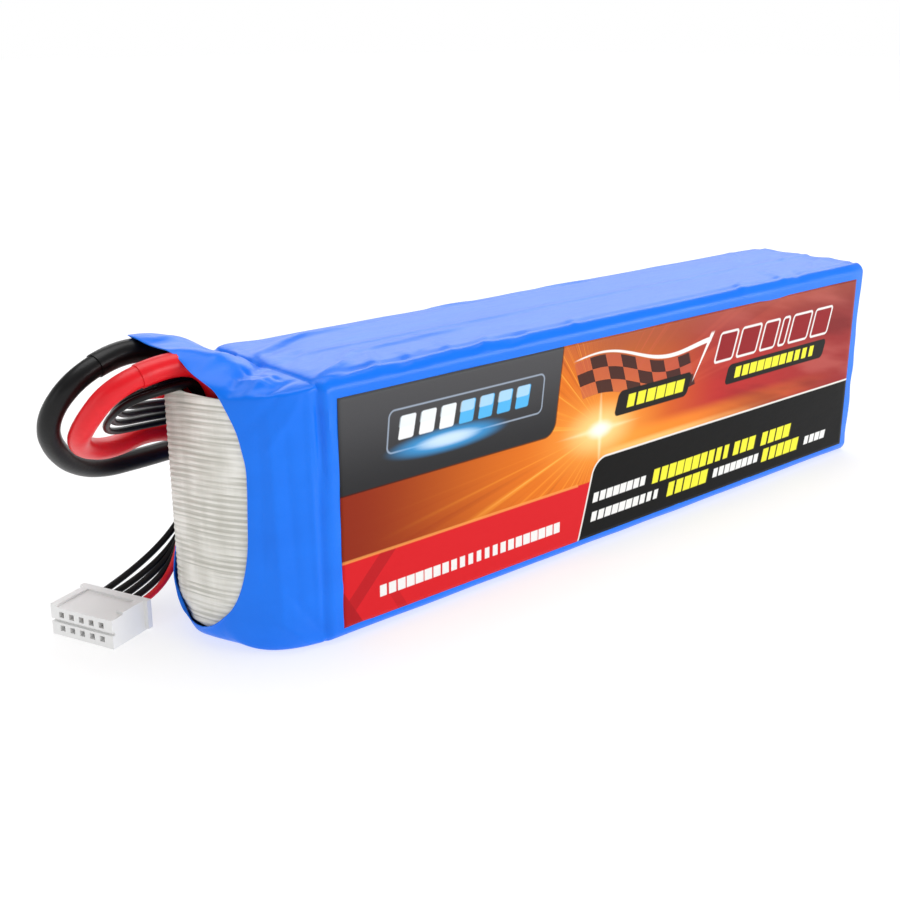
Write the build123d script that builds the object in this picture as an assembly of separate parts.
from build123d import *
import math
import os

# Lithium polymer battery pack with four flat pouch cells.
#
# The cells stand on their long edges, side by side. Their tabs pass through a balance board at the lead
# end, where a foam pad and fibre tape make a rounded nose. A heat-shrink sleeve covers the pack. It is
# open at the nose, where the leads come out under a tongue of film, and at the far end.
#
# Millimetres. +X runs from the lead end to the far end, +Y away from the front label, and +Z up.
# The pack is drawn from its crease, the upright line where the flat sides meet the nose, and each solid
# is moved to the part's origin as it is written: the middle of the floor under the pack.

# ---------------------------------------------------------------- driving dimensions
CELL_COUNT = 4
CELL_THICKNESS = 5.85
CELL_WIDTH = 34.3             # upright
CELL_LENGTH = 116.2           # without the sealed lip at the tabs
CELL_EDGE_RADIUS = 1.5
LAMINATE = 0.15
STACK_CLEARANCE = 0.05        # between the electrode stack and its pouch

LIP_LENGTH = 3.4              # sealed front lip of a pouch
LIP_THICKNESS = 0.7
LIP_MARGIN = 3.2              # lip is this much narrower than its cell at the top and at the bottom
LIP_OFFSET_OUTER_CELLS = 1.9  # outer cells have their lip nearer the middle of the pack
SEAM_WIDTH = 4.0              # side seam of a pouch, folded flat on its top and bottom edges
SEAM_THICKNESS = 0.3

TAB_WIDTH = 5.0
TAB_THICKNESS = 0.2
TAB_HEIGHT_FROM_MIDDLE = 8.0
TAB_FOLD_ALONE = 2.0          # fold of a tab that has no partner
TAB_FOLD_GAP = 0.1            # between the folded ends of two partners
SEALANT_THICKNESS = 0.12
SEALANT_MARGIN = 0.7
SEALANT_LENGTH = 3.0

SPACER_THICKNESS = 0.15
SPACER_MARGIN = 3.0
FRONT_GAP = 0.8               # from the crease to the cells' front face
REAR_PAD_THICKNESS = 1.5
REAR_PAD_MARGIN = 1.6

TAPE_THICKNESS = 0.2
TAPE_REACH = 30.0             # how far the tape runs back along the cells
TAPE_TOP_MARGIN = 1.7         # from the pack's top to the tape's top edge
TAPE_BOTTOM = 2.0

SLEEVE_WALL = 0.35
LONG_EDGE_RADIUS = 1.6
REAR_EDGE_RADIUS = 1.4
NOSE_DEPTH = 11.4
NOSE_SETBACK = 0.7            # the nose is this much narrower than the flat sides, on each side
NOSE_BOTTOM_RADIUS = 1.8
HOOD_RISE = 4.7               # hood over the leads, above the pack's top
TONGUE_REACH = 13.2           # from the crease to the tongue's tip
MOUTH_WIDTH = 16.8
MOUTH_BOTTOM = 2.4
MOUTH_TOP_MARGIN = -2.6       # the mouth's oval would end this much under the pack's top
TONGUE_DEPTH = 4.0            # the tongue's sides hang this far under the pack's top
LEAD_WAY_NEAR = 5.6           # way out under the tongue: to the near and the far side of the middle
LEAD_WAY_FAR = 10.4
REAR_OPENING_WIDTH = 15.0
REAR_OPENING_HEIGHT = 25.0

LABEL_THICKNESS = 0.1
LABEL_END_MARGIN = 2.6        # from the crease to the label
LABEL_REAR_MARGIN = 1.6
LABEL_BOTTOM = 1.7
LABEL_TOP_MARGIN = 2.5

FOAM_WALL = 0.9
FOAM_FLOOR = 1.0
FOAM_TOP_MARGIN = 4.5

BOARD_THICKNESS = 1.0
BOARD_GAP = 0.6               # from the cells' lips to the board
BOARD_HALF_WIDTH = 8.9
BOARD_MARGIN = 4.5            # from the pack's top and bottom to the board
BOARD_SLOT_CLEARANCE = 0.15
PAD_THICKNESS = 0.05
PAD_OVERHANG = 0.6

LEAD_DIAMETER = 2.8
LEAD_CORE_DIAMETER = 2.0
LEAD_SLEEVE_WALL = 0.15
BALANCE_WIRE_DIAMETER = 0.9

PLUG_LENGTH = 16.0
PLUG_WIDTH = 11.0
PLUG_HEIGHT = 6.0
PLUG_KEY_CHAMFER = 1.8
PLUG_RIB_COUNT = 4
PLUG_RIB_PITCH = 1.6
PLUG_GROOVE_WIDTH = 0.8
PLUG_GROOVE_DEPTH = 0.4
CONTACT_DIAMETER = 3.2
SOCKET_DIAMETER = 2.0
SOCKET_DEPTH = 9.0
CUP_DIAMETER = 3.6
CUP_LENGTH = 4.0
CUP_DEPTH = 3.0
BOOT_WALL = 0.3
BOOT_LENGTH = 5.0

BALANCE_PLUG_WIDTH = 10.15    # along the row of holes
BALANCE_PLUG_DEPTH = 6.95
BALANCE_PLUG_HEIGHT = 4.28
BALANCE_PLUG_YAW = 21.7
BALANCE_PLUG_CENTRE = (-19.5, 10.9)
BALANCE_PITCH = 1.65
BALANCE_ROW_HEIGHTS = (3.0, 1.1)
BALANCE_HOLE = 0.8
BALANCE_CAVITY = 1.3
BALANCE_HOLE_DEPTH = 1.0          # from the mating face to a cavity
BALANCE_BLIND_DEPTH = 1.6         # holes of the row that has no contacts
BALANCE_GROOVE = 0.44             # groove between the two rows
BALANCE_GROOVE_DEPTH = 0.5
BALANCE_FLANGE_DEPTH = 0.8
BALANCE_FLANGE_OVERHANG = 0.6
BALANCE_PANEL_DEPTH = 0.3         # recess in the plug's top
BALANCE_PANEL_EDGE = 1.1
CRIMP_LENGTH = 1.5

# Routes of the cords, from the crease. Each list starts inside the pack and ends in a plug.
POSITIVE_LEAD_ROUTE = [
    (-7.5, -3.0, 18.0), (-7.5, -3.0, 27.0), (-7.0, -1.5, 34.0), (-9.5, 1.3, 37.0), (-19.5, 1.0, 35.5),
    (-22.5, 4.5, 30.0), (-21.0, 9.5, 26.0), (-15.0, 13.0, 23.5), (-8.0, 16.0, 24.0), (-0.5, 17.2, 22.0),
    (6.0, 18.0, 18.0), (12.5, 17.5, 13.5), (18.5, 17.5, 9.0), (25.0, 18.0, 5.5), (32.0, 18.0, 3.5),
    (39.5, 18.0, 3.0), (47.0, 18.0, 3.0),
]
NEGATIVE_LEAD_ROUTE = [
    (-6.2, 5.3, 18.0), (-6.2, 5.3, 28.0), (-6.4, 6.5, 35.0), (-12.5, 8.5, 37.8), (-22.0, 6.0, 36.0),
    (-25.5, 8.5, 30.0), (-21.5, 13.5, 23.5), (-15.0, 18.0, 19.5), (-8.0, 19.5, 19.0), (-0.5, 20.5, 19.0),
    (6.5, 21.8, 17.0), (12.5, 22.5, 13.0), (18.5, 22.5, 8.5), (25.0, 23.0, 5.5), (32.0, 23.0, 3.5),
    (39.5, 23.0, 3.0), (47.0, 23.0, 3.0),
]
POSITIVE_SLEEVE_END = (3, 0.66)   # run of the route, and the share of it, where the outer sleeve ends
NEGATIVE_SLEEVE_END = (3, 0.64)
BALANCE_WIRE_ROUTES = [           # without their last point, which is in the balance plug
    [(-5.8, -1.2, 21.0), (-5.8, -1.2, 26.5), (-8.0, 1.0, 33.9), (-12.0, 0.4, 33.9), (-18.2, 0.8, 33.2),
     (-19.0, 5.4, 29.8), (-16.6, 10.0, 26.8), (-10.0, 13.9, 25.4), (-2.4, 15.3, 24.8),
     (-1.4, 13.9, 17.5), (-6.9, 15.2, 6.8)],
    [(-5.8, -0.2, 21.0), (-5.8, -0.2, 26.5), (-8.0, 2.05, 33.9), (-12.0, 1.4, 33.9), (-17.4, 1.8, 33.3),
     (-18.2, 5.4, 30.6), (-16.0, 9.4, 28.0), (-10.0, 13.0, 26.7), (-3.3, 14.1, 26.1),
     (-2.6, 13.0, 17.5), (-6.4, 14.0, 5.8)],
    [(-5.8, 0.8, 21.0), (-5.8, 0.8, 26.5), (-8.0, 3.1, 33.9), (-12.0, 2.4, 33.8), (-16.6, 2.8, 33.4),
     (-17.4, 5.5, 31.3), (-15.2, 8.6, 29.1), (-10.0, 12.0, 28.0), (-4.3, 12.9, 27.2),
     (-3.8, 12.2, 17.5), (-6.8, 13.15, 5.15)],
    [(-5.8, 1.8, 21.0), (-5.8, 1.8, 26.5), (-8.0, 4.1, 33.9), (-12.0, 3.4, 33.9), (-15.8, 3.8, 33.5),
     (-16.6, 5.8, 31.9), (-14.4, 8.2, 30.2), (-10.0, 10.8, 29.2), (-5.4, 11.7, 28.5),
     (-5.0, 11.4, 18.0), (-7.3, 12.1, 4.3)],
    [(-5.8, 2.75, 21.0), (-5.8, 2.75, 26.5), (-8.6, 5.0, 33.8), (-12.0, 4.5, 33.8), (-14.9, 4.9, 33.7),
     (-15.6, 6.3, 32.6), (-13.6, 7.6, 31.4), (-10.0, 9.5, 30.6), (-6.5, 10.4, 29.8),
     (-6.3, 10.6, 18.5), (-7.9, 11.05, 3.5)],
]

# ---------------------------------------------------------------- places worked out from them
STACK_HALF = (CELL_COUNT * CELL_THICKNESS + (CELL_COUNT - 1) * SPACER_THICKNESS) / 2
SLEEVE_HALF = STACK_HALF + TAPE_THICKNESS + SLEEVE_WALL
PACK_HEIGHT = CELL_WIDTH + 2 * SLEEVE_WALL
MIDDLE_Z = PACK_HEIGHT / 2
CELL_FRONT = FRONT_GAP
CELL_REAR = CELL_FRONT + CELL_LENGTH
PACK_LENGTH = CELL_REAR + REAR_PAD_THICKNESS + SLEEVE_WALL
NOSE_HALF = SLEEVE_HALF - NOSE_SETBACK
CELL_PITCH = CELL_THICKNESS + SPACER_THICKNESS
CREASE_X = (TONGUE_REACH - PACK_LENGTH) / 2

LIP_FRONT = CELL_FRONT - LIP_LENGTH
BOARD_REAR = LIP_FRONT - BOARD_GAP
BOARD_FRONT = BOARD_REAR - BOARD_THICKNESS
PAD_FRONT = BOARD_FRONT - PAD_THICKNESS
TAB_FRONT = PAD_FRONT - TAB_THICKNESS
TAPE_TOP = PACK_HEIGHT - TAPE_TOP_MARGIN
FOAM_TOP = PACK_HEIGHT - FOAM_TOP_MARGIN


# ---------------------------------------------------------------- helpers
def block(low, high):
    """A box from its lowest corner to its highest."""
    size = [b - a for a, b in zip(low, high)]
    centre = [(a + b) / 2 for a, b in zip(low, high)]
    return Pos(*centre) * Box(*size)


def save(shape, node):
    """Move a solid from the crease to the part's origin, and write it."""
    export_step(Pos(CREASE_X, 0, 0) * shape, f"parts/{node}.step")


def nose_column(inset, bottom, top):
    """An upright oval column: the nose's plan, drawn inwards by inset."""
    plan = Ellipse(NOSE_DEPTH - inset, NOSE_HALF - inset)
    return Pos(0, 0, bottom) * extrude(plan, top - bottom)


# ---------------------------------------------------------------- cells
def cell_middle(index):
    return (index - (CELL_COUNT - 1) / 2) * CELL_PITCH


def is_outer(index):
    return index in (0, CELL_COUNT - 1)


def lip_middle(index):
    """Y of the sealed lip and its tabs."""
    if not is_outer(index):
        return cell_middle(index)
    return cell_middle(index) - math.copysign(LIP_OFFSET_OUTER_CELLS, cell_middle(index))


def tab_middle_z(index, positive):
    """The tabs swap sides from cell to cell, so that neighbours in the series chain meet."""
    is_high = positive == (index % 2 == 0)
    return MIDDLE_Z + (TAB_HEIGHT_FROM_MIDDLE if is_high else -TAB_HEIGHT_FROM_MIDDLE)


def tab_fold_end(index, positive):
    """Y that a tab's folded end reaches on the board."""
    partner = index + 1 if positive else index - 1
    if partner in range(CELL_COUNT):
        meeting = (lip_middle(index) + lip_middle(partner)) / 2
        return meeting + math.copysign(TAB_FOLD_GAP / 2, lip_middle(index) - meeting)
    return lip_middle(index) - math.copysign(TAB_FOLD_ALONE, lip_middle(index))


def sealant_block(index, positive):
    """Outside of the sealant strip round a tab, where it crosses the lip."""
    y = lip_middle(index)
    z = tab_middle_z(index, positive)
    half_y = TAB_THICKNESS / 2 + SEALANT_THICKNESS
    half_z = TAB_WIDTH / 2 + SEALANT_MARGIN
    front = LIP_FRONT - (BOARD_GAP / 2)
    return block((front, y - half_y, z - half_z), (front + SEALANT_LENGTH, y + half_y, z + half_z))


def tab_strip(index, positive):
    """Straight part of a tab, from the electrode stack to the front of the board's pads."""
    y = lip_middle(index)
    z = tab_middle_z(index, positive)
    low = (TAB_FRONT, y - TAB_THICKNESS / 2, z - TAB_WIDTH / 2)
    high = (CELL_FRONT + LAMINATE + STACK_CLEARANCE, y + TAB_THICKNESS / 2, z + TAB_WIDTH / 2)
    return block(low, high)


def tab(index, positive):
    y = lip_middle(index)
    z = tab_middle_z(index, positive)
    end = tab_fold_end(index, positive)
    fold = block(
        (TAB_FRONT, min(y - TAB_THICKNESS / 2, end), z - TAB_WIDTH / 2),
        (PAD_FRONT, max(y + TAB_THICKNESS / 2, end), z + TAB_WIDTH / 2),
    )
    return tab_strip(index, positive) + fold


def tab_sealant(index):
    strips = [sealant_block(index, positive) - tab_strip(index, positive) for positive in (True, False)]
    return Compound(children=strips)


def pouch_body(index, inset):
    """The cell's rounded brick, drawn inwards by inset. Its side seams lie outside it."""
    y = cell_middle(index)
    half_y = CELL_THICKNESS / 2 - inset
    half_z = CELL_WIDTH / 2 - SEAM_THICKNESS - inset
    brick = block(
        (CELL_FRONT + inset, y - half_y, MIDDLE_Z - half_z),
        (CELL_REAR - inset, y + half_y, MIDDLE_Z + half_z),
    )
    return fillet(brick.edges().filter_by(Axis.X), CELL_EDGE_RADIUS - inset)


def pouch(index):
    shape = pouch_body(index, 0)
    y = cell_middle(index)
    for side in (-1, 1):
        outside = MIDDLE_Z + side * CELL_WIDTH / 2
        inside = outside - side * (SEAM_THICKNESS + LAMINATE / 2)
        shape += block(
            (CELL_FRONT, y - SEAM_WIDTH / 2 + CELL_EDGE_RADIUS / 2, min(inside, outside)),
            (CELL_REAR, y + SEAM_WIDTH / 2 - CELL_EDGE_RADIUS / 2, max(inside, outside)),
        )
    lip_y = lip_middle(index)
    lip_half_z = CELL_WIDTH / 2 - LIP_MARGIN
    shape += block(
        (LIP_FRONT, lip_y - LIP_THICKNESS / 2, MIDDLE_Z - lip_half_z),
        (CELL_FRONT + LAMINATE, lip_y + LIP_THICKNESS / 2, MIDDLE_Z + lip_half_z),
    )
    shape -= pouch_body(index, LAMINATE)
    for positive in (True, False):
        shape -= sealant_block(index, positive)
        shape -= tab_strip(index, positive)
    return shape


def electrode_stack(index):
    return pouch_body(index, LAMINATE + STACK_CLEARANCE)


def spacer_tape(index):
    """Double-sided tape between a cell and the next."""
    y = (cell_middle(index) + cell_middle(index + 1)) / 2
    half_z = CELL_WIDTH / 2 - SPACER_MARGIN
    return block(
        (CELL_FRONT + SPACER_MARGIN, y - SPACER_THICKNESS / 2, MIDDLE_Z - half_z),
        (CELL_REAR - SPACER_MARGIN, y + SPACER_THICKNESS / 2, MIDDLE_Z + half_z),
    )


# ---------------------------------------------------------------- balance board
def tabs():
    return [(index, positive) for index in range(CELL_COUNT) for positive in (True, False)]


def balance_board():
    """Upright board in front of the cells, with a slot for each tab."""
    board = block(
        (BOARD_FRONT, -BOARD_HALF_WIDTH, BOARD_MARGIN),
        (BOARD_REAR, BOARD_HALF_WIDTH, PACK_HEIGHT - BOARD_MARGIN),
    )
    for index, positive in tabs():
        y = lip_middle(index)
        z = tab_middle_z(index, positive)
        half_y = TAB_THICKNESS / 2 + BOARD_SLOT_CLEARANCE
        half_z = TAB_WIDTH / 2 + BOARD_SLOT_CLEARANCE
        board -= block((BOARD_FRONT, y - half_y, z - half_z), (BOARD_REAR, y + half_y, z + half_z))
    return board


def solder_pad(index, positive):
    """Copper under a folded tab, beside its slot."""
    slot_edge = TAB_THICKNESS / 2 + BOARD_SLOT_CLEARANCE
    y = lip_middle(index)
    z = tab_middle_z(index, positive)
    end = tab_fold_end(index, positive)
    start = y + math.copysign(slot_edge, end - y)
    half_z = TAB_WIDTH / 2 + PAD_OVERHANG
    return block((PAD_FRONT, min(start, end), z - half_z), (BOARD_FRONT, max(start, end), z + half_z))


def board_solder_pads():
    return Compound(children=[solder_pad(index, positive) for index, positive in tabs()])


def lead_solder_joint(route):
    """Solder from the board up to a main lead's tinned end."""
    x, y, z = route[0]
    core = LEAD_CORE_DIAMETER / 2
    stub = Pos(x, y, z - LEAD_CORE_DIAMETER) * Cylinder(core, 2 * LEAD_CORE_DIAMETER)
    foot = block((x, y - core, z - 2 * LEAD_CORE_DIAMETER), (BOARD_FRONT, y + core, z - LEAD_CORE_DIAMETER))
    return stub + foot


def balance_solder_joint(route):
    """Solder under the end of a balance wire."""
    x, y, z = route[0]
    radius = BALANCE_WIRE_DIAMETER / 2
    stub = Pos(x, y, z - radius) * Cylinder(radius * 0.8, 2 * radius)
    foot = block((x, y - radius * 0.8, z - 2 * radius), (BOARD_FRONT, y + radius * 0.8, z - radius))
    return stub + foot


def balance_solder_joints():
    return Compound(children=[balance_solder_joint(route) for route in BALANCE_WIRE_ROUTES])


# ---------------------------------------------------------------- foam and tape
def front_foam_pad():
    """Cup of foam that rounds the nose. Its pocket holds the board and the ends of the leads."""
    outside = SLEEVE_WALL + TAPE_THICKNESS
    cup = nose_column(outside, TAPE_BOTTOM, FOAM_TOP)
    cup -= nose_column(outside + FOAM_WALL, TAPE_BOTTOM + FOAM_FLOOR, FOAM_TOP)
    behind = block((CELL_FRONT - STACK_CLEARANCE, -SLEEVE_HALF, 0), (NOSE_DEPTH, SLEEVE_HALF, PACK_HEIGHT))
    return cup - behind


def rear_foam_pad():
    half_y = STACK_HALF - REAR_PAD_MARGIN
    half_z = CELL_WIDTH / 2 - REAR_PAD_MARGIN
    return block(
        (CELL_REAR, -half_y, MIDDLE_Z - half_z),
        (CELL_REAR + REAR_PAD_THICKNESS, half_y, MIDDLE_Z + half_z),
    )


def filament_tape_wrap():
    """U-shaped band round the nose and back along the outer cells."""
    outside = nose_column(SLEEVE_WALL, TAPE_BOTTOM, TAPE_TOP)
    outside += block(
        (SLEEVE_WALL, -STACK_HALF - TAPE_THICKNESS, TAPE_BOTTOM),
        (TAPE_REACH, STACK_HALF + TAPE_THICKNESS, TAPE_TOP),
    )
    inside = nose_column(SLEEVE_WALL + TAPE_THICKNESS, TAPE_BOTTOM, TAPE_TOP)
    inside += block(
        (SLEEVE_WALL + TAPE_THICKNESS, -STACK_HALF, TAPE_BOTTOM),
        (TAPE_REACH, STACK_HALF, TAPE_TOP),
    )
    return outside - inside


# ---------------------------------------------------------------- heat-shrink sleeve
def sleeve_box(inset):
    half = SLEEVE_HALF - inset
    box = block((inset, -half, inset), (PACK_LENGTH - inset, half, PACK_HEIGHT - inset))
    box = fillet(box.edges().filter_by(Axis.X), LONG_EDGE_RADIUS - inset)
    return fillet(box.faces().sort_by(Axis.X)[-1].edges(), REAR_EDGE_RADIUS - inset)


def drawn_in(points, centre, inset):
    """Each point of an outline, moved by inset towards a point inside it."""
    middle = Vector(*centre)
    return [Vector(*point) + (middle - Vector(*point)).normalized() * inset for point in points]


def roof_side(inset):
    """Seen along the pack's side: the roof dips at the crease and rises over the leads."""
    crown = PACK_HEIGHT + HOOD_RISE - inset
    low = PACK_HEIGHT - inset
    roof = Spline(
        (2, low - 0.5), (0, low - 0.4), (-3.5, low + 1.6), (-7.5, crown - 0.6), (-11.0, crown - 0.1),
        (-16, crown),
    )
    base = Polyline((-16, crown), (-16, -1), (2, -1), (2, low - 0.5))
    return make_face(roof + base)


def roof_front(inset):
    """Seen from the lead end: the roof climbs from the near side and is highest over the black lead."""
    crown = PACK_HEIGHT + HOOD_RISE - inset
    low = PACK_HEIGHT - inset
    near = -NOSE_HALF - 1
    far = SLEEVE_HALF + 1
    roof = Spline(
        (near, low - 1.0), (-8.5, low + 0.5), (-4.0, low + 2.2), (0, crown - 0.6), (5.0, crown - 0.1),
        (8.5, crown - 0.1), (far - 2, low + 2.0), (far, low - 1.0),
    )
    base = Polyline((far, low - 1.0), (far, -1), (near, -1), (near, low - 1.0))
    return make_face(roof + base)


def tongue_plan(inset):
    """Seen from above: the film reaches out over the leads, past the nose's oval."""
    outline = [
        (-2.0, 10.5), (-6.5, 11.3), (-11.0, 10.8), (-TONGUE_REACH, 8.2), (-12.6, 4.5), (-11.8, 1.0),
        (-9.5, -3.0),
    ]
    rim = drawn_in(outline, (-4.0, 4.0), inset)
    return make_face(Spline(*rim) + Polyline(rim[-1], (-4.0, 0), rim[0]))


def sleeve_front(inset):
    """The nose's oval column and the tongue, under one roof."""
    column = nose_column(inset, inset, 2 * PACK_HEIGHT)
    bottom = column.faces().sort_by(Axis.Z)[0]
    column = fillet(bottom.edges(), NOSE_BOTTOM_RADIUS - inset)
    tongue = extrude(tongue_plan(inset), 2 * PACK_HEIGHT)
    tongue &= block(
        (inset - TONGUE_REACH, -SLEEVE_HALF, PACK_HEIGHT - TONGUE_DEPTH),
        (0, SLEEVE_HALF, 2 * PACK_HEIGHT),
    )
    under_roof = extrude(Plane.XZ * roof_side(inset), 2 * PACK_HEIGHT, both=True)
    under_roof &= extrude(Plane.YZ * roof_front(inset), 2 * PACK_HEIGHT, both=True)
    return (column + tongue) & under_roof


def mouth_cut():
    """The oval mouth at the nose, and the way out for the leads under the tongue."""
    mouth_top = PACK_HEIGHT - MOUTH_TOP_MARGIN
    way_bottom = PACK_HEIGHT - TONGUE_DEPTH
    oval = Ellipse(MOUTH_WIDTH / 2, (mouth_top - MOUTH_BOTTOM) / 2)
    mouth = extrude(Plane.YZ * (Pos(0, (mouth_top + MOUTH_BOTTOM) / 2) * oval), -2 * NOSE_DEPTH)
    mouth = Pos(-NOSE_DEPTH / 4, 0, 0) * mouth
    mouth &= block((-3 * NOSE_DEPTH, -SLEEVE_HALF, 0), (0, SLEEVE_HALF, way_bottom))
    lead_way = Pos(-NOSE_DEPTH / 3, 0, 0) * sleeve_front(SLEEVE_WALL)
    lead_way &= block(
        (-3 * NOSE_DEPTH, -LEAD_WAY_NEAR, way_bottom),
        (-5.0, LEAD_WAY_FAR, 2 * PACK_HEIGHT),
    )
    return mouth + lead_way


def heat_shrink_sleeve():
    outside = sleeve_box(0) + sleeve_front(0)
    inside = sleeve_box(SLEEVE_WALL) + sleeve_front(SLEEVE_WALL)
    rear_oval = Ellipse(REAR_OPENING_WIDTH / 2, REAR_OPENING_HEIGHT / 2)
    rear_opening = Pos(CELL_REAR, 0, 0) * extrude(Plane.YZ * (Pos(0, MIDDLE_Z) * rear_oval), NOSE_DEPTH)
    return outside - inside - mouth_cut() - rear_opening


def label(side):
    """Printed label on a long side: -1 front, 1 rear."""
    faces = sorted((side * SLEEVE_HALF, side * (SLEEVE_HALF + LABEL_THICKNESS)))
    return block(
        (LABEL_END_MARGIN, faces[0], LABEL_BOTTOM),
        (PACK_LENGTH - LABEL_REAR_MARGIN, faces[1], PACK_HEIGHT - LABEL_TOP_MARGIN),
    )


# ---------------------------------------------------------------- cords
def corner_radii(route):
    """Each bend is as large as its two runs allow."""
    points = [Vector(*point) for point in route]
    radii = []
    for before, corner, after in zip(points, points[1:], points[2:]):
        shorter = min((corner - before).length, (after - corner).length)
        half_turn = math.radians((corner - before).get_angle(after - corner)) / 2
        radii.append(0.45 * shorter / math.tan(half_turn))
    return radii


def tube(path, outer, inner=0):
    """A round section swept along a path of straight runs and tangent arcs."""
    section = Circle(outer / 2)
    if inner:
        section -= Circle(inner / 2)
    start = Plane(origin=path @ 0, z_dir=path % 0)
    return sweep(start * section, path=path)


def cord(route, diameter, node):
    radii = corner_radii(route)
    path = FilletPolyline(*route, radius=radii)
    solid = tube(path, diameter)
    expected = math.pi * diameter ** 2 / 4 * path.length
    print(f"{node}: length {path.length:.1f}, volume / (section x length) {solid.volume / expected:.4f}, "
          f"radii {[round(radius, 1) for radius in radii]}")
    return solid


def lead_sleeve(route, end):
    """Outer sleeve on a lead, from inside the pack to the seam part way along a run."""
    run, share = end
    before = Vector(*route[run])
    seam = before + (Vector(*route[run + 1]) - before) * share
    start = Vector(*route[0]) + (Vector(*route[1]) - Vector(*route[0])) * 0.4
    points = [start] + [Vector(*point) for point in route[1:run + 1]] + [seam]
    radii = corner_radii(route)[:run]
    path = FilletPolyline(*points, radius=radii)
    return tube(path, LEAD_DIAMETER + 2 * LEAD_SLEEVE_WALL, LEAD_DIAMETER)


# ---------------------------------------------------------------- main plug
def plug_middle_y():
    return (POSITIVE_LEAD_ROUTE[-1][1] + NEGATIVE_LEAD_ROUTE[-1][1]) / 2


def plug_rear_x():
    """The lead's end is at the bottom of its cup, and the housing starts where the cup ends."""
    return POSITIVE_LEAD_ROUTE[-1][0] - CUP_DEPTH + CUP_LENGTH


def main_plug_contact(route):
    """Turned contact: a solder cup, a shank in the housing and a socket at the mating face."""
    end_x, y, z = route[-1]
    cup_rear = end_x - CUP_DEPTH
    front = plug_rear_x() + PLUG_LENGTH
    along = Plane(origin=(cup_rear, y, z), z_dir=(1, 0, 0))
    cup = extrude(along * Circle(CUP_DIAMETER / 2), CUP_LENGTH)
    shank = extrude(along * Circle(CONTACT_DIAMETER / 2), front - cup_rear)
    cup_bore = extrude(along * Circle(LEAD_DIAMETER / 2), CUP_DEPTH)
    mouth = Plane(origin=(front, y, z), z_dir=(-1, 0, 0))
    socket = extrude(mouth * Circle(SOCKET_DIAMETER / 2), SOCKET_DEPTH)
    return cup + shank - cup_bore - socket


def main_plug_housing():
    """Two-pole housing with one side chamfered as a key, and grip ribs on both sides."""
    middle = plug_middle_y()
    rear = plug_rear_x()
    front = rear + PLUG_LENGTH
    half = PLUG_WIDTH / 2
    body = block((rear, middle - half, 0), (front, middle + half, PLUG_HEIGHT))
    key_edges = body.edges().filter_by(Axis.X).group_by(Axis.Y)[-1]
    body = chamfer(key_edges, PLUG_KEY_CHAMFER)
    for rib in range(PLUG_RIB_COUNT):
        x = rear + PLUG_RIB_PITCH * (rib + 1)
        for side in (-1, 1):
            y = middle + side * half
            half_height = PLUG_HEIGHT / 2 if side < 0 else PLUG_HEIGHT / 2 - PLUG_KEY_CHAMFER
            body -= block(
                (x, y - PLUG_GROOVE_DEPTH, PLUG_HEIGHT / 2 - half_height),
                (x + PLUG_GROOVE_WIDTH, y + PLUG_GROOVE_DEPTH, PLUG_HEIGHT / 2 + half_height),
            )
    for route in (POSITIVE_LEAD_ROUTE, NEGATIVE_LEAD_ROUTE):
        seat = Plane(origin=(rear, route[-1][1], route[-1][2]), z_dir=(1, 0, 0))
        body -= extrude(seat * Circle(CONTACT_DIAMETER / 2), PLUG_LENGTH)
    return body


def main_plug_boot(route):
    """Shrink tube over a solder cup and the end of its lead."""
    end_x, y, z = route[-1]
    step = end_x - CUP_DEPTH
    front = plug_rear_x()
    rear = front - BOOT_LENGTH
    lead = LEAD_DIAMETER / 2
    cup = CUP_DIAMETER / 2
    profile = Polyline(
        (rear, lead), (rear, lead + BOOT_WALL), (step - 0.8, lead + BOOT_WALL), (step, cup + BOOT_WALL),
        (front, cup + BOOT_WALL), (front, cup), (step, cup), (step, lead), close=True,
    )
    boot = revolve(Plane.XZ * make_face(profile), Axis.X)
    return Pos(0, y, z) * boot


# ---------------------------------------------------------------- balance plug
def balance_plug_place():
    """The plug's own frame: +X out of its rear, +Y along the row of holes, Z up from the floor."""
    return Pos(*BALANCE_PLUG_CENTRE, 0) * Rot(0, 0, BALANCE_PLUG_YAW)


def balance_hole_offsets():
    count = len(BALANCE_WIRE_ROUTES)
    return [BALANCE_PITCH * ((count - 1) / 2 - index) for index in range(count)]


def balance_wire_end(index):
    """Where a balance wire enters the plug, as a plain tuple."""
    local = Pos(BALANCE_PLUG_DEPTH / 2, balance_hole_offsets()[index], BALANCE_ROW_HEIGHTS[0])
    end = (balance_plug_place() * local).position
    return (end.X, end.Y, end.Z)


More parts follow.
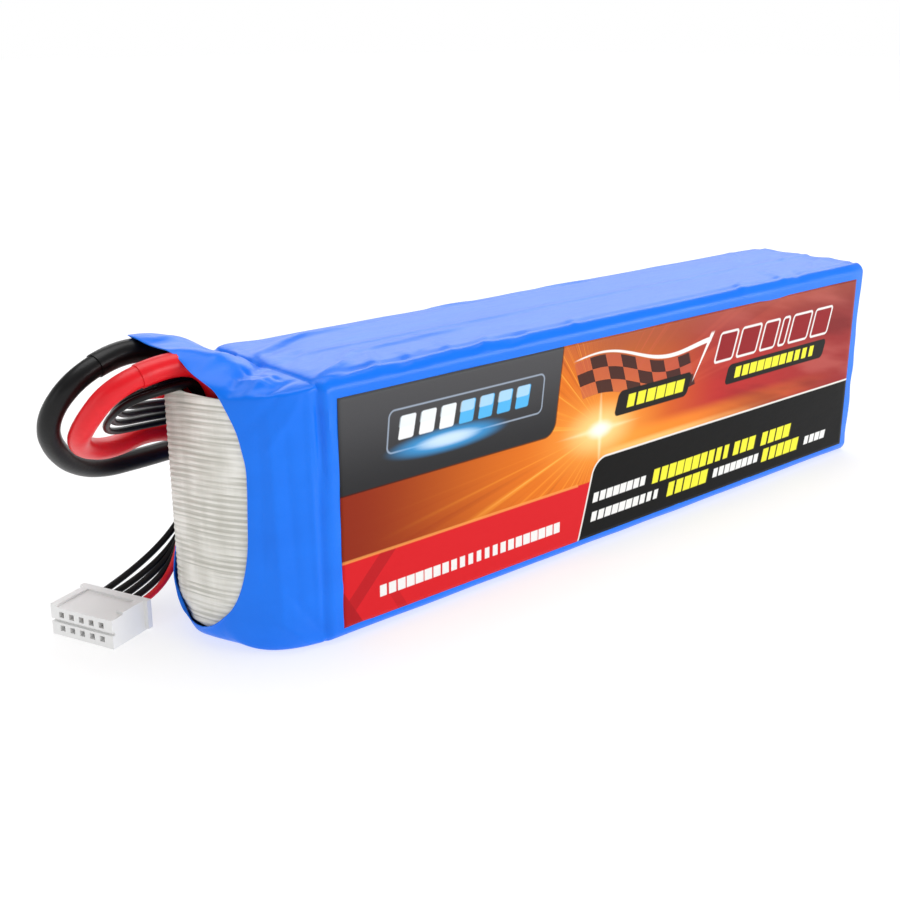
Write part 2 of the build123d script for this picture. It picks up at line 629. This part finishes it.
def balance_plug_housing():
    """Plug with two rows of holes, a groove between them, a rear flange and a framed panel on top."""
    face = -BALANCE_PLUG_DEPTH / 2
    rear = BALANCE_PLUG_DEPTH / 2
    half_width = BALANCE_PLUG_WIDTH / 2
    top = BALANCE_PLUG_HEIGHT
    flange_front = rear - BALANCE_FLANGE_DEPTH
    body = block((face, -half_width, 0), (rear, half_width, top))
    body += block(
        (flange_front, -half_width - BALANCE_FLANGE_OVERHANG, BALANCE_PANEL_DEPTH),
        (rear, half_width + BALANCE_FLANGE_OVERHANG, top),
    )
    panel_half = half_width - BALANCE_PANEL_EDGE
    panel_floor = top - BALANCE_PANEL_DEPTH
    body -= block((face, -panel_half, panel_floor), (flange_front - BALANCE_GROOVE, panel_half, top))
    body -= block((face, -half_width, panel_floor), (face + 2 * BALANCE_PANEL_EDGE, -panel_half, top))
    groove_z = sum(BALANCE_ROW_HEIGHTS) / 2
    body -= block(
        (face, -half_width, groove_z - BALANCE_GROOVE / 2),
        (face + BALANCE_GROOVE_DEPTH, half_width, groove_z + BALANCE_GROOVE / 2),
    )
    upper, lower = BALANCE_ROW_HEIGHTS
    for y in balance_hole_offsets():
        body -= square_bar(y, upper, BALANCE_HOLE, face, rear)
        body -= square_bar(y, lower, BALANCE_HOLE, face, face + BALANCE_BLIND_DEPTH)
        body -= square_bar(y, upper, BALANCE_CAVITY, face + BALANCE_HOLE_DEPTH, rear)
    return balance_plug_place() * body


def square_bar(y, z, side, start, end):
    """A square bar along the plug's own X."""
    return block((start, y - side / 2, z - side / 2), (end, y + side / 2, z + side / 2))


def balance_plug_contacts():
    """A crimped socket contact in each cavity. The wire's end butts against its crimp."""
    start = BALANCE_HOLE_DEPTH - BALANCE_PLUG_DEPTH / 2
    end = BALANCE_PLUG_DEPTH / 2
    height = BALANCE_ROW_HEIGHTS[0]
    contacts = []
    for y in balance_hole_offsets():
        contact = square_bar(y, height, BALANCE_CAVITY, start, end)
        contact -= square_bar(y, height, BALANCE_HOLE, start, end - CRIMP_LENGTH)
        contacts.append(balance_plug_place() * contact)
    return Compound(children=contacts)


# ---------------------------------------------------------------- write the parts
os.makedirs("parts", exist_ok=True)

for index in range(CELL_COUNT):
    name = f"cell_{index + 1}"
    save(pouch(index), f"{name}_pouch")
    save(electrode_stack(index), f"{name}_electrode_stack")
    save(tab(index, True), f"{name}_positive_tab")
    save(tab(index, False), f"{name}_negative_tab")
    save(tab_sealant(index), f"{name}_tab_sealant")
for index in range(CELL_COUNT - 1):
    save(spacer_tape(index), f"cell_spacer_tape_{index + 1}")

save(balance_board(), "balance_board")
save(board_solder_pads(), "board_solder_pads")
save(balance_solder_joints(), "balance_solder_joints")
save(lead_solder_joint(POSITIVE_LEAD_ROUTE), "positive_lead_solder_joint")
save(lead_solder_joint(NEGATIVE_LEAD_ROUTE), "negative_lead_solder_joint")
save(front_foam_pad(), "front_foam_pad")
save(rear_foam_pad(), "rear_foam_pad")
save(filament_tape_wrap(), "filament_tape_wrap")
save(heat_shrink_sleeve(), "heat_shrink_sleeve")
save(label(-1), "front_label")
save(label(1), "rear_label")

save(cord(POSITIVE_LEAD_ROUTE, LEAD_DIAMETER, "positive_lead"), "positive_lead")
save(cord(NEGATIVE_LEAD_ROUTE, LEAD_DIAMETER, "negative_lead"), "negative_lead")
save(lead_sleeve(POSITIVE_LEAD_ROUTE, POSITIVE_SLEEVE_END), "positive_lead_sleeve")
save(lead_sleeve(NEGATIVE_LEAD_ROUTE, NEGATIVE_SLEEVE_END), "negative_lead_sleeve")
for index, route in enumerate(BALANCE_WIRE_ROUTES):
    node = f"balance_wire_{index + 1}"
    save(cord(route + [balance_wire_end(index)], BALANCE_WIRE_DIAMETER, node), node)

save(main_plug_housing(), "main_plug_housing")
save(main_plug_contact(POSITIVE_LEAD_ROUTE), "main_plug_positive_contact")
save(main_plug_contact(NEGATIVE_LEAD_ROUTE), "main_plug_negative_contact")
save(main_plug_boot(POSITIVE_LEAD_ROUTE), "main_plug_positive_boot")
save(main_plug_boot(NEGATIVE_LEAD_ROUTE), "main_plug_negative_boot")
save(balance_plug_housing(), "balance_plug_housing")
save(balance_plug_contacts(), "balance_plug_contacts")
